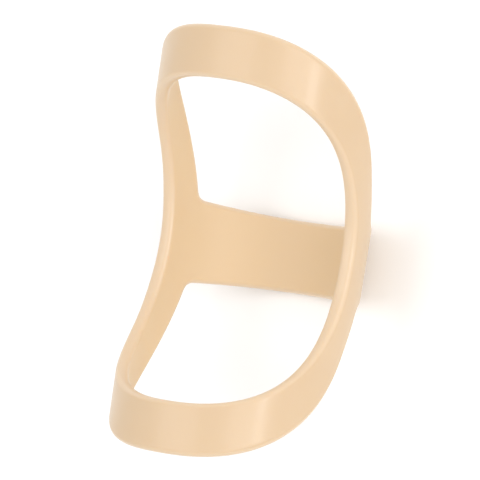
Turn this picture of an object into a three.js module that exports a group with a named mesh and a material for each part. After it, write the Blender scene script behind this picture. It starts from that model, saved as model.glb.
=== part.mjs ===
// Finger splint, moulded in one piece of plastic.
//
// Two arches cross the back of the finger, one at each end. A rail down each side joins them, and a
// middle band joins the rails under the finger. The outline is drawn flat first, as if the splint
// were slit and unrolled from the oval bore: girth runs round the bore from the middle of its top,
// and along is the distance from the splint's middle, in the finger's direction. The flat outline is
// then wrapped round the bore and given its wall.
//
// Millimetres, +Z up, the finger along Y. The splint lies on its middle band, as it rests on a table,
// with the origin on the table below the middle of the bore.
import * as THREE from 'three';
import { mergeVertices } from 'three/addons/utils/BufferGeometryUtils.js';

// The oval bore, at the splint's middle
const boreWidth = 18.2;
const boreHeight = 16.2;
// How much wider the bore is at the +Y mouth than at the -Y mouth
const boreSpread = 0.8;

// The wall, in the arches and where the rails meet the middle band, and its rounded edges
const wall = 1.17;
const middleWall = 1.34;
const edgeRadius = 0.4;
// How far from the splint's middle the wall starts to thin, and has thinned to that of the arches
const thinning = { from: 3, to: 8 };

// Arches, rails and the window between them, on top of the finger
const splintLength = 36.6;
const archWidth = 4.5;
const railWidth = 3.3;
// How far down each side the window reaches, as an angle round the bore from its top
const windowReach = 93.5;

// The middle band, where it crosses under the finger and where it leaves the rails
const bandWidth = 6.35;
const bandRootWidth = 7.25;
const bandRootFillet = 0.8;
// The flat strip along the bottom of the band, on which the splint rests without rocking
const restWidth = 2.4;

// Powers of the two ovals, along the girth and along the finger: 2 and 2 is an ellipse
const windowPowers = { girth: 2.47, along: 2.06 };
const archPowers = { girth: 2.65, along: 1.66 };

// How finely each stretch of the outline, the face and the rounded edge are divided
const archSteps = 22;
const filletSteps = 4;
const bandSteps = 8;
const faceSteps = 4;
const roundSteps = 2;

// A quarter of an oval, from its end on the along axis down to a height above the girth axis
class QuarterOval extends THREE.Curve {

  constructor(halfGirth, halfLength, powers, endHeight = 0) {
    super();
    this.halfGirth = halfGirth;
    this.halfLength = halfLength;
    this.powers = powers;
    this.endAngle = Math.acos((endHeight / halfLength) ** (powers.along / 2));
    this.arcLengthDivisions = 2000;
  }

  getPoint(t, target = new THREE.Vector2()) {
    const angle = t * this.endAngle;
    const girth = this.halfGirth * Math.sin(angle) ** (2 / this.powers.girth);
    const along = this.halfLength * Math.cos(angle) ** (2 / this.powers.along);
    return target.set(girth, along);
  }

}

// Half of the bore's oval, from its top round to its bottom; x is up and y is to the side
const halfBore = new THREE.EllipseCurve(0, 0, boreHeight / 2, boreWidth / 2, 0, Math.PI);
halfBore.arcLengthDivisions = 2000;
const halfGirth = halfBore.getLength();

// How much thicker than an arch the wall is, at a distance along the splint
function wallGrowth(along) {
  const thinned = THREE.MathUtils.smoothstep(Math.abs(along), thinning.from, thinning.to);
  return THREE.MathUtils.lerp(middleWall / wall, 1, thinned);
}

// Place a flat point in space, at a height above the bore's surface
function wrap(girth, along, height) {
  const bore = halfBore.getPointAt(Math.abs(girth) / halfGirth);
  const outward = new THREE.Vector2(bore.x / boreHeight ** 2, bore.y / boreWidth ** 2).normalize();
  bore.multiplyScalar(1 + (boreSpread / boreWidth) * (along / splintLength));
  bore.addScaledVector(outward, height * wallGrowth(along));
  return new THREE.Vector3(Math.sign(girth) * bore.y, along, bore.x);
}

// Points at even steps along a flat curve, each with the direction that leads into the material,
// which lies to the right of the curve's run where side is 1, and to its left where side is -1
function stations(curve, steps, side) {
  return Array.from({ length: steps + 1 }, (_, i) => {
    const tangent = curve.getTangentAt(i / steps);
    return {
      point: curve.getPointAt(i / steps),
      inward: new THREE.Vector2(tangent.y, -tangent.x).multiplyScalar(side),
    };
  });
}

// The outer outline: the arch, the fillet under the rail, and the middle band's edge
const windowGirth = new THREE.EllipseCurve(
  0, 0, boreHeight / 2, boreWidth / 2, 0, THREE.MathUtils.degToRad(windowReach),
).getLength();
const railGirth = windowGirth + railWidth;
const halfLength = splintLength / 2;
const halfRoot = bandRootWidth / 2;
const rootCorner = new QuarterOval(railGirth, halfLength, archPowers, halfRoot).getPoint(1);
const archEdge = new QuarterOval(railGirth, halfLength, archPowers, halfRoot + bandRootFillet);
const bandStart = new THREE.Vector2(rootCorner.x + bandRootFillet, halfRoot);
const bandEnd = new THREE.Vector2(halfGirth - restWidth / 2, bandWidth / 2);
const bandMiddle = new THREE.Vector2((bandStart.x + bandEnd.x) / 2, bandWidth / 2);
const filletEdge = new THREE.QuadraticBezierCurve(archEdge.getPoint(1), rootCorner, bandStart);
const bandEdge = new THREE.QuadraticBezierCurve(bandStart, bandMiddle, bandEnd);

// The inner outline: the window's edge, then the splint's middle line across the band
const windowEdge = new QuarterOval(windowGirth, halfLength - archWidth, windowPowers);
const middleLine = new THREE.LineCurve(
  new THREE.Vector2(windowGirth + edgeRadius, 0), new THREE.Vector2(bandEnd.x, 0),
);

const outerStations = [
  ...stations(archEdge, archSteps, 1),
  ...stations(filletEdge, filletSteps, 1).slice(1),
  ...stations(bandEdge, bandSteps, 1).slice(1),
];
const windowSteps = archSteps + filletSteps;
const windowStations = stations(windowEdge, windowSteps, -1);
const middlePoints = middleLine.getSpacedPoints(bandSteps).slice(1);

// The rounded edge in section, from the outer face to the bore: how deep in, and how high
const edgeSection = [];
for (let i = 0; i <= roundSteps; i += 1) {
  const angle = (Math.PI / 2) * (i / roundSteps);
  edgeSection.push({
    depth: edgeRadius * (1 - Math.sin(angle)),
    height: wall - edgeRadius * (1 - Math.cos(angle)),
  });
}
for (const { depth, height } of [...edgeSection].reverse()) {
  edgeSection.push({ depth, height: wall - height });
}

// Flat points of one rounded edge, each with its height
function edgePoints({ point, inward }) {
  return edgeSection.map(({ depth, height }) => ({
    flat: point.clone().addScaledVector(inward, depth), height,
  }));
}

// Flat points across one face, from one flat point towards another, without the last one
function facePoints(from, to) {
  return Array.from({ length: faceSteps }, (_, i) => ({
    flat: from.flat.clone().lerp(to.flat, i / faceSteps), height: from.height,
  }));
}

// One section across the strip: over the outer face, round the outer edge and back along the bore,
// and round the window's edge where there is one
function section(index) {
  const outer = edgePoints(outerStations[index]);
  const atWindow = index <= windowSteps;
  const middlePoint = middlePoints[index - windowSteps - 1];
  const inner = atWindow ? edgePoints(windowStations[index]).reverse() : [
    { flat: middlePoint, height: 0 },
    { flat: middlePoint, height: wall },
  ];
  const [boreSide, outerSide] = [inner[0], inner[inner.length - 1]];
  const skin = [
    ...facePoints(outerSide, outer[0]), ...outer.slice(0, -1),
    ...facePoints(outer[outer.length - 1], boreSide), boreSide,
  ];
  return { skin, windowEdge: atWindow ? inner : [] };
}

const sections = outerStations.map((_, index) => section(index));

// Points of a section in space, on one side of the bore and in one half of the splint's length
function place(points, side, half) {
  return points.map(({ flat, height }) => wrap(side * flat.x, half * flat.y, height));
}

const positions = [];
const triangles = [];

// Join two rows of points with triangles, turned over where asked so that they face outwards
function joinRows(rowA, rowB, turned) {
  const first = positions.length / 3;
  for (const corner of [...rowA, ...rowB]) {
    positions.push(corner.x, corner.y, corner.z);
  }
  for (let i = 0; i + 1 < rowA.length; i += 1) {
    const a = first + i;
    const b = a + rowA.length;
    const quad = [a, b, a + 1, a + 1, b, b + 1];
    triangles.push(...(turned ? quad.reverse() : quad));
  }
}

// One side of one half of the length, from the top of its arch down to the middle band
function addQuarter(side, half) {
  const turned = side * half < 0;
  for (let i = 0; i + 1 < sections.length; i += 1) {
    const [here, next] = [sections[i], sections[i + 1]];
    joinRows(place(here.skin, side, half), place(next.skin, side, half), turned);
    if (next.windowEdge.length) {
      joinRows(place(here.windowEdge, side, half), place(next.windowEdge, side, half), turned);
    }
  }
}

// The flat strip at the bottom, from one side to the other
function addBottomStrip(half) {
  const { skin } = sections[sections.length - 1];
  joinRows(place(skin, 1, half), place(skin, -1, half), half < 0);
}

for (const half of [1, -1]) {
  addQuarter(1, half);
  addQuarter(-1, half);
  addBottomStrip(half);
}

let shape = new THREE.BufferGeometry();
shape.setAttribute('position', new THREE.Float32BufferAttribute(positions, 3));
shape.setIndex(triangles);
shape = mergeVertices(shape);
shape.computeBoundingBox();

const plastic = new THREE.MeshStandardMaterial({ color: 0xe9c79c, roughness: 0.42, metalness: 0 });
const splint = new THREE.Mesh(shape, plastic);
splint.name = 'splint_body';
splint.position.z = -shape.boundingBox.min.z;

const group = new THREE.Group();
group.add(splint);
export default group;
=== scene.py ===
# %% [markdown]
# A finger splint in moulded plastic.
# The real splint is a single moulding, about as long as a finger joint: two arches over the back of the
# finger, a rail down each side, and a band under the finger that joins the rails. It has no strap or
# seam, so everything is in its form, its rounded edges and its satin finish. The CAD model holds the
# right form in coarse facets. Here the same form is made again with a fine, smooth surface.

# %% Load the CAD frame
import math

import bmesh
import bpy
import numpy as np
from mathutils import Matrix, Vector


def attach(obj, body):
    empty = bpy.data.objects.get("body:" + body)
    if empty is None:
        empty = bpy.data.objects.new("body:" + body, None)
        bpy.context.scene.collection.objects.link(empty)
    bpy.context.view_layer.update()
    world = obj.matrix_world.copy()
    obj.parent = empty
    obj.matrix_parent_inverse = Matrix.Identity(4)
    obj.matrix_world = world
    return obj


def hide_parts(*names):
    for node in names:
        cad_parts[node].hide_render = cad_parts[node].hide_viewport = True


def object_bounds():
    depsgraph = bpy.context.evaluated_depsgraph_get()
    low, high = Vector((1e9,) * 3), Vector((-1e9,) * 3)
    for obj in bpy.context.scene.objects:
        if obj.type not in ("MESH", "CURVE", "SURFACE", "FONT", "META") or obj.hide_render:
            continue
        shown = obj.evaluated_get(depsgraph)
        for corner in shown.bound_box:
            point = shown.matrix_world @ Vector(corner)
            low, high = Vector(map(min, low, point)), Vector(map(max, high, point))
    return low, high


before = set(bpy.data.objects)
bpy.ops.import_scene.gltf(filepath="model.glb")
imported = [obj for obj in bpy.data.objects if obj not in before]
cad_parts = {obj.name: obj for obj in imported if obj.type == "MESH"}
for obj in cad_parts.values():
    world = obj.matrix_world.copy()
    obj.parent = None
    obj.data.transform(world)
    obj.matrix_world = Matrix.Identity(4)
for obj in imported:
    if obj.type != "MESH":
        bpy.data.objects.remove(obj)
cad_low, cad_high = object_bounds()
cad_size = cad_high - cad_low
print("CAD nodes", list(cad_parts))
print("CAD box in mm", [round(side * 1000, 2) for side in cad_size])

# %% [markdown]
# The sizes.
# Blender works in metres, and a splint is read in millimetres, so one factor turns them. The bore is
# the oval tunnel for the finger. The length comes from the CAD box, and the other sizes are those of
# the moulding itself: its wall, the widths of its arches, rails and band, and where the window stops.

# %% Name the sizes
MM = 0.001
BORE_WIDTH = 18.2 * MM
BORE_HEIGHT = 16.2 * MM
BORE_SPREAD = 0.8 * MM  # how much wider the +Y mouth is than the -Y mouth
WALL = 1.17 * MM  # in the arches
MIDDLE_WALL = 1.34 * MM  # where the rails meet the band
THICK_TO = 3 * MM  # the wall keeps its middle thickness this far from the splint's middle
THIN_FROM = 8 * MM  # and is down to the arches' thickness from here
EDGE_RADIUS = 0.4 * MM
LENGTH = cad_size.y
ARCH_WIDTH = 4.5 * MM
RAIL_WIDTH = 3.3 * MM
WINDOW_REACH = math.radians(93.5)  # how far down each side the window reaches, round the bore
BAND_WIDTH = 6.35 * MM
BAND_ROOT_WIDTH = 7.25 * MM
BAND_ROOT_FILLET = 0.8 * MM
print("wall", WALL / MM, "mm, bore", BORE_WIDTH / MM, "by", BORE_HEIGHT / MM, "mm")

# %% [markdown]
# The bore's oval, unrolled.
# A thin curved part like this is easiest to draw flat, as a sheet that is later rolled round the
# finger. The sheet's x is girth, the distance round the bore from the middle of its top, so the
# helper here turns a girth into an angle on the oval. An ellipse has no formula for its length, so a
# fine table is summed once and looked up.

# %% Measure the bore's half girth
angles = np.linspace(0, math.pi, 2001)
side_steps = np.diff(BORE_WIDTH / 2 * np.sin(angles))
up_steps = np.diff(BORE_HEIGHT / 2 * np.cos(angles))
girths = np.concatenate([[0], np.cumsum(np.hypot(side_steps, up_steps))])
HALF_GIRTH = girths[-1]
WINDOW_GIRTH = np.interp(WINDOW_REACH, angles, girths)
print("half girth", round(HALF_GIRTH / MM, 2), "mm, window reaches", round(WINDOW_GIRTH / MM, 2), "mm")


def angle_at(girth):
    return float(np.interp(abs(girth), girths, angles))


# %% [markdown]
# The two outlines.
# Seen flat, a quarter of the splint lies between two curves. The inner one follows the window's edge
# and then the splint's middle line. The outer one runs round the end of the arch, up the rail, through
# a small fillet, and along the edge of the band. Ovals squarer than an ellipse come from raising sine
# and cosine to a power, and a quadratic Bezier is enough for the fillet and for the band's edge.

# %% Draw the outlines of a quarter
FINENESS = 400
WINDOW_POWERS = (2.47, 2.06)  # along the girth and along the finger; 2 and 2 is an ellipse
ARCH_POWERS = (2.65, 1.66)


def oval(half_girth, half_length, powers, end_height=0.0):
    end_angle = math.acos((end_height / half_length) ** (powers[1] / 2))
    angle = np.linspace(0, end_angle, FINENESS)
    girth = half_girth * np.sin(angle) ** (2 / powers[0])
    along = half_length * np.cos(angle) ** (2 / powers[1])
    return np.column_stack([girth, along])


def bezier(start, corner, end):
    t = np.linspace(0, 1, FINENESS)[:, None]
    return (1 - t) ** 2 * start + 2 * t * (1 - t) * corner + t**2 * end


def spaced(points, steps):
    run = np.concatenate([[0], np.cumsum(np.hypot(*np.diff(points, axis=0).T))])
    even = np.linspace(0, run[-1], steps + 1)
    return np.column_stack([np.interp(even, run, points[:, i]) for i in (0, 1)])


half_root = BAND_ROOT_WIDTH / 2
rail_girth = WINDOW_GIRTH + RAIL_WIDTH
root_corner = oval(rail_girth, LENGTH / 2, ARCH_POWERS, half_root)[-1]
band_start = root_corner + np.array([BAND_ROOT_FILLET, 0])
band_end = np.array([HALF_GIRTH, BAND_WIDTH / 2])
band_corner = np.array([(band_start[0] + band_end[0]) / 2, BAND_WIDTH / 2])
arch_edge = oval(rail_girth, LENGTH / 2, ARCH_POWERS, half_root + BAND_ROOT_FILLET)
fillet_edge = bezier(arch_edge[-1], root_corner, band_start)
band_edge = bezier(band_start, band_corner, band_end)
window_edge = oval(WINDOW_GIRTH, LENGTH / 2 - ARCH_WIDTH, WINDOW_POWERS)
middle_line = np.array([[WINDOW_GIRTH, 0], [HALF_GIRTH, 0]])
print("the rail meets the band", round(root_corner[0] / MM, 2), "mm round the bore")

# %% [markdown]
# The flat blank.
# A grid is laid between the two outlines: each column of the grid joins a point of the inner outline
# to a point of the outer one, so the faces flow with the strip and stay close to square. Cutting the
# outline out of a plain grid would leave ragged edges that no bevel could round. The last column runs
# a little past the middle of the underside, to be cut back later.

# %% Lay the grid and mirror it
ARCH_STEPS = 44
FILLET_STEPS = 6
BAND_STEPS = 16
ROWS = 8
OVERRUN = 0.6 * MM
WELD = 0.001 * MM

outer = np.vstack([
    spaced(arch_edge, ARCH_STEPS),
    spaced(fillet_edge, FILLET_STEPS)[1:],
    spaced(band_edge, BAND_STEPS)[1:],
    band_end + np.array([OVERRUN, 0]),
])
inner = np.vstack([
    spaced(window_edge, ARCH_STEPS + FILLET_STEPS),
    spaced(middle_line, BAND_STEPS)[1:],
    middle_line[-1] + np.array([OVERRUN, 0]),
])
columns = len(outer) - 1

blank = bmesh.new()
bmesh.ops.create_grid(blank, x_segments=columns, y_segments=ROWS, size=0.5)
for vert in blank.verts:
    column = round((vert.co.x + 0.5) * columns)
    share = vert.co.y + 0.5
    vert.co.xy = inner[column] * (1 - share) + outer[column] * share
for axis in "XY":
    whole = blank.verts[:] + blank.edges[:] + blank.faces[:]
    bmesh.ops.mirror(blank, geom=whole, axis=axis, merge_dist=WELD)
bmesh.ops.recalc_face_normals(blank, faces=blank.faces)
print("flat blank", len(blank.verts), "points and", len(blank.faces), "faces")

# %% [markdown]
# Give it a wall and round its edges.
# Solidify copies the sheet and closes the rim. While the blank is flat, the rim's edges are the only
# sharp ones, so they are found by the angle between their faces and bevelled. On the real moulding
# these small radii matter most for the looks: each one catches a thin bright line of light. Then both
# ends of the band are cut back to the line where they will meet. Two layers of numbers on the points,
# one for the rim and one for the side towards the finger, tell the material later where it is. Points
# on the border of a flat face stay out of the rim's layer, or its painted highlight would bleed across
# the face.

# %% Thicken, bevel and trim
SHARP = math.radians(50)
ROUND_SEGMENTS = 3

rim_layer = blank.verts.layers.float.new("rim")
inside_layer = blank.verts.layers.float.new("inside")
bmesh.ops.solidify(blank, geom=blank.faces, thickness=WALL)
blank.normal_update()
sharp_edges = [edge for edge in blank.edges if edge.calc_face_angle(0) > SHARP]
rounded = bmesh.ops.bevel(
    blank, geom=sharp_edges, offset=EDGE_RADIUS, offset_type="OFFSET", affect="EDGES",
    segments=ROUND_SEGMENTS, profile=0.5, material=-1, clamp_overlap=False,
)
bottom_of_sheet = min(vert.co.z for vert in blank.verts)
top_of_sheet = bottom_of_sheet + WALL
for vert in rounded["verts"]:
    vert[rim_layer] = float(bottom_of_sheet + WELD < vert.co.z < top_of_sheet - WELD)
for vert in blank.verts:
    vert[inside_layer] = float(vert.co.z < bottom_of_sheet + WELD)
for side in (1, -1):
    whole = blank.verts[:] + blank.edges[:] + blank.faces[:]
    bmesh.ops.bisect_plane(
        blank, geom=whole, dist=WELD, plane_co=(side * HALF_GIRTH, 0, 0), plane_no=(side, 0, 0),
        clear_outer=True,
    )
print("thick blank", len(blank.faces), "faces,", len(sharp_edges), "sharp edges rounded")

# %% [markdown]
# Roll the blank round the bore.
# Every point keeps its place along the finger, its girth becomes an angle on the oval, and its height
# in the sheet becomes a distance out from the oval. The wall is thicker where the rails meet the
# band, so heights grow there. A Simple Deform modifier could bend a sheet round a circle, but not
# round an oval that also widens towards one mouth. The two ends of the band meet and are welded, and
# the outside is pressed flat where it would sink into the floor.

# %% Roll, weld and rest on the floor
bore_middle = cad_high.z - WALL - BORE_HEIGHT / 2 * (1 + BORE_SPREAD / BORE_WIDTH / 2)


def wall_growth(along):
    nearness = (THIN_FROM - abs(along)) / (THIN_FROM - THICK_TO)
    nearness = min(max(nearness, 0), 1)
    return 1 + (MIDDLE_WALL / WALL - 1) * nearness**2 * (3 - 2 * nearness)


for vert in blank.verts:
    girth, along, height = vert.co
    angle = angle_at(girth)
    spread = 1 + BORE_SPREAD / BORE_WIDTH * along / LENGTH
    outward = Vector((math.sin(angle) / BORE_WIDTH, math.cos(angle) / BORE_HEIGHT)).normalized()
    away = outward * (height - bottom_of_sheet) * wall_growth(along)
    sideways = BORE_WIDTH / 2 * math.sin(angle) * spread + away.x
    upwards = BORE_HEIGHT / 2 * math.cos(angle) * spread + away.y
    vert.co = (math.copysign(sideways, girth), along, max(bore_middle + upwards, 0))
bmesh.ops.remove_doubles(blank, verts=blank.verts, dist=WELD)
bmesh.ops.recalc_face_normals(blank, faces=blank.faces)
open_edges = [edge for edge in blank.edges if not edge.is_manifold]
volume = blank.calc_volume() / MM**3
print("rolled and welded,", len(open_edges), "open edges,", round(volume, 1), "cubic mm")

# %% [markdown]
# Make it an object.
# One level of subdivision turns the three facets of each rounded edge, and the bends of the strip,
# into smooth curves.

# %% Smooth the moulding
for face in blank.faces:
    face.smooth = True
splint_mesh = bpy.data.meshes.new("splint_moulding")
blank.to_mesh(splint_mesh)
blank.free()
splint = bpy.data.objects.new("splint_moulding", splint_mesh)
bpy.context.scene.collection.objects.link(splint)
smoothing = splint.modifiers.new("smoothing", "SUBSURF")
smoothing.levels = smoothing.render_levels = 1
print("moulding", len(splint_mesh.polygons), "faces before smoothing")

# %% [markdown]
# It stands for the CAD node.
# The moulding takes the place of the faceted CAD solid in the picture, and rides on the only body.

# %% Ride on the body
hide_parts("splint_body")
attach(splint, "root")

# %% [markdown]
# Arithmetic on shader sockets.
# A material is a small calculation for each point of the surface. Wrapping a socket in a class lets
# that calculation be read as a Python expression, and each operator adds the Math node it stands for.
# An input is given by its name, with _ for a space, or as _ and its number where names repeat.


# %% Wrap a socket
class Socket:
    def __init__(self, tree, link):
        self.tree = tree
        self.link = link

    def node(self, kind, settings=None, **inputs):
        made = self.tree.nodes.new(kind)
        for name, value in (settings or {}).items():
            setattr(made, name, value)
        for name, value in inputs.items():
            key = int(name[1:]) if name[1:].isdigit() else name.replace("_", " ")
            socket = made.inputs[key]
            if isinstance(value, Socket):
                self.tree.links.new(value.link, socket)
            else:
                socket.default_value = value
        return made

    def output(self, made, name=0):
        return Socket(self.tree, made.outputs[name])

    def maths(self, operation, a, b):
        return self.output(self.node("ShaderNodeMath", {"operation": operation}, _0=a, _1=b))

    def __add__(self, other):
        return self.maths("ADD", self, other)

    def __radd__(self, other):
        return self.maths("ADD", other, self)

    def __sub__(self, other):
        return self.maths("SUBTRACT", self, other)

    def __rsub__(self, other):
        return self.maths("SUBTRACT", other, self)

    def __mul__(self, other):
        return self.maths("MULTIPLY", self, other)

    def __rmul__(self, other):
        return self.maths("MULTIPLY", other, self)


# %% [markdown]
# The plastic.
# The moulding is a warm beige plastic with a satin skin. Five things keep it from looking like paint.
# Light enters it a little and comes out warmer, so it has subsurface scattering. Its skin carries the
# fine grain of the mould. Its faces are not perfectly even, so highlights waver along them. The outside
# has a thin sheen, which a clear coat gives, and the bore side is duller. Handling has polished the
# rounded rims, so they are a little less rough. Two colours are painted light: the bore side is painted
# lighter for the light bouncing round inside the bore, and the rims are painted paler as a painted
# highlight. The patterns are noise on Object coordinates, which are in metres here, so a scale of
# 1 / size gives features of that size. The Bump node is given real heights, with a distance and a
# strength of 1. The roughness stays above 0.3, because below that the denoiser mistakes the grain for
# something to keep, and leaves specks.

# %% Make the plastic
DEEP_BEIGE = (0.635, 0.459, 0.285, 1)
PALE_BEIGE = (0.67, 0.492, 0.313, 1)
# painted light: the bore side's lighter colour stands in for the light bouncing round inside the bore
BORE_PAINTED_LIGHT = (0.73, 0.547, 0.332, 1)
# painted highlight: the rims' paler colour stands in for the light they catch
RIM_PAINTED_HIGHLIGHT = (0.765, 0.605, 0.436, 1)
GRAIN_SIZE = 0.3 * MM
GRAIN_DEPTH = 0.0008 * MM
WAVER_SIZE = 5 * MM
WAVER_DEPTH = 0.06 * MM
CLOUD_SIZE = 7 * MM
BORE_LIGHT_SHARE = 0.5  # how far the bore side goes towards its painted lighter colour
# how far the rims go towards their painted highlight
RIM_HIGHLIGHT_SHARE = 0.4
SKIN_ROUGHNESS = 0.32
GRAIN_ROUGHNESS = 0.05
WAVER_ROUGHNESS = 0.06
BORE_DULLNESS = 0.14
RIM_POLISH = 0.03
SHEEN = 0.25  # weight of the clear coat outside

plastic = bpy.data.materials.new("satin_beige_plastic")
plastic.use_nodes = True
tree = plastic.node_tree
tree.nodes.clear()
base = Socket(tree, None)
place = base.output(base.node("ShaderNodeTexCoord"), "Object")
rim = base.output(base.node("ShaderNodeAttribute", {"attribute_name": "rim"}), "Fac")
inside = base.output(base.node("ShaderNodeAttribute", {"attribute_name": "inside"}), "Fac")


def noise(size, detail):
    made = base.node("ShaderNodeTexNoise", None, Vector=place, Scale=1 / size, Detail=detail)
    return base.output(made, "Fac")


def mixed(share, first, second):
    made = base.node("ShaderNodeMix", {"data_type": "RGBA"}, _0=share, _6=first, _7=second)
    return base.output(made, 2)


grain = noise(GRAIN_SIZE, detail=2.0)
waver = noise(WAVER_SIZE, detail=1.0)
cloud = noise(CLOUD_SIZE, detail=3.0)
# the bore side is mixed towards a lighter colour, which is painted light
skin_with_painted_bore_light = mixed(inside * BORE_LIGHT_SHARE, mixed(cloud, DEEP_BEIGE, PALE_BEIGE), BORE_PAINTED_LIGHT)
uneven = SKIN_ROUGHNESS + grain * GRAIN_ROUGHNESS + waver * WAVER_ROUGHNESS
roughness = uneven - rim * RIM_POLISH + inside * BORE_DULLNESS
relief = base.node(
    "ShaderNodeBump", None,
    Strength=1.0, Distance=1.0, Height=grain * GRAIN_DEPTH + waver * WAVER_DEPTH,
)
shader = base.node(
    "ShaderNodeBsdfPrincipled", {"subsurface_method": "RANDOM_WALK"},
    # the rims are mixed towards a paler colour, which is a painted highlight
    Base_Color=mixed(rim * RIM_HIGHLIGHT_SHARE, skin_with_painted_bore_light, RIM_PAINTED_HIGHLIGHT),
    Roughness=roughness, IOR=1.5,
    Coat_Weight=(1 - inside) * SHEEN, Coat_Roughness=0.14,
    Subsurface_Weight=0.35, Subsurface_Radius=(1.0, 0.85, 0.55), Subsurface_Scale=0.6 * MM,
    Normal=base.output(relief),
)
base.node("ShaderNodeOutputMaterial", None, Surface=base.output(shader))
splint_mesh.materials.append(plastic)
print("plastic has", len(tree.nodes), "nodes")

# %% [markdown]
# The floor.
# The splint lies on a plain pale floor, large enough that no view sees its edge.

# %% Lay the floor
FLOOR_HALF = 3.0  # metres
FLOOR_WHITE = (0.96, 0.96, 0.96, 1)
FLOOR_ROUGHNESS = 0.8

floor_form = bmesh.new()
bmesh.ops.create_grid(floor_form, x_segments=1, y_segments=1, size=FLOOR_HALF)
floor_mesh = bpy.data.meshes.new("floor")
floor_form.to_mesh(floor_mesh)
floor_form.free()
floor = bpy.data.objects.new("floor", floor_mesh)
bpy.context.scene.collection.objects.link(floor)

floor_paint = bpy.data.materials.new("pale_floor")
floor_paint.use_nodes = True
floor_shader = floor_paint.node_tree.nodes["Principled BSDF"]
floor_shader.inputs["Base Color"].default_value = FLOOR_WHITE
floor_shader.inputs["Roughness"].default_value = FLOOR_ROUGHNESS
floor_mesh.materials.append(floor_paint)

# %% [markdown]
# The light.
# The photograph was taken in a white surround with soft light from the right, so shadows are faint.
# A bright world is the surround, and area lights are the softboxes. The small key makes the streaks on
# the arches, the large one beside it lights their right-hand sides, and the top one lights the band.

# %% Set the lights
SURROUND_STRENGTH = 0.89

world = bpy.data.worlds.new("white_surround")
world.use_nodes = True
surround = world.node_tree.nodes["Background"]
surround.inputs["Color"].default_value = (1, 1, 1, 1)
surround.inputs["Strength"].default_value = SURROUND_STRENGTH
bpy.context.scene.world = world

middle = (cad_low + cad_high) / 2


def softbox(name, direction, distance, width, power):
    lamp = bpy.data.lights.new(name, "AREA")
    lamp.size = width
    lamp.energy = power
    box = bpy.data.objects.new(name, lamp)
    box.location = middle + Vector(direction).normalized() * distance
    box.rotation_euler = (middle - box.location).to_track_quat("-Z", "Y").to_euler()
    box.visible_camera = False
    bpy.context.scene.collection.objects.link(box)


softbox("key", (0.87, 0.0, 0.47), distance=0.5, width=0.08, power=0.15)
softbox("side", (0.9, 0.1, 0.75), distance=0.6, width=0.45, power=1.15)
softbox("top", (-0.3, 0.0, 1.0), distance=0.6, width=0.4, power=0.7)

# %% [markdown]
# The camera.
# The photograph looks down on the back of the finger, 36 degrees round to one side, from about 43 cm.
# The finger's direction points up in the picture and leans 9 degrees to the right. The picture is
# 480 pixels wide and shows 11.6 pixels to a millimetre, which gives the focal length.

# %% Place the camera
PICTURE = 480
SIDE_ANGLE = math.radians(36.12)
TIP_ANGLE = math.radians(-0.66)
LEAN = math.radians(8.81)
PIXELS_PER_MM = 11.61
MIDDLE_PIXEL = (249.33, 248.81)
DISTANCE = 0.435

towards = Vector((
    math.sin(SIDE_ANGLE) * math.cos(TIP_ANGLE),
    math.sin(TIP_ANGLE),
    math.cos(SIDE_ANGLE) * math.cos(TIP_ANGLE),
))
level_right = Vector((math.cos(SIDE_ANGLE), 0, -math.sin(SIDE_ANGLE)))
level_up = towards.cross(level_right)
right = level_right * math.cos(LEAN) + level_up * math.sin(LEAN)
up = level_up * math.cos(LEAN) - level_right * math.sin(LEAN)
metres_per_pixel = MM / PIXELS_PER_MM
aim = middle - right * (MIDDLE_PIXEL[0] - PICTURE / 2) * metres_per_pixel
aim += up * (MIDDLE_PIXEL[1] - PICTURE / 2) * metres_per_pixel

lens = bpy.data.cameras.new("camera")
lens.lens = lens.sensor_width * DISTANCE / (PICTURE * metres_per_pixel)
lens.clip_start = 0.01
lens.clip_end = 10
camera = bpy.data.objects.new("camera", lens)
turn = Matrix((right, up, towards)).transposed()
camera.matrix_world = Matrix.Translation(aim + towards * DISTANCE) @ turn.to_4x4()
bpy.context.scene.collection.objects.link(camera)
bpy.context.scene.camera = camera
bpy.context.scene.view_settings.view_transform = "Standard"
print("focal length", round(lens.lens, 1), "mm")
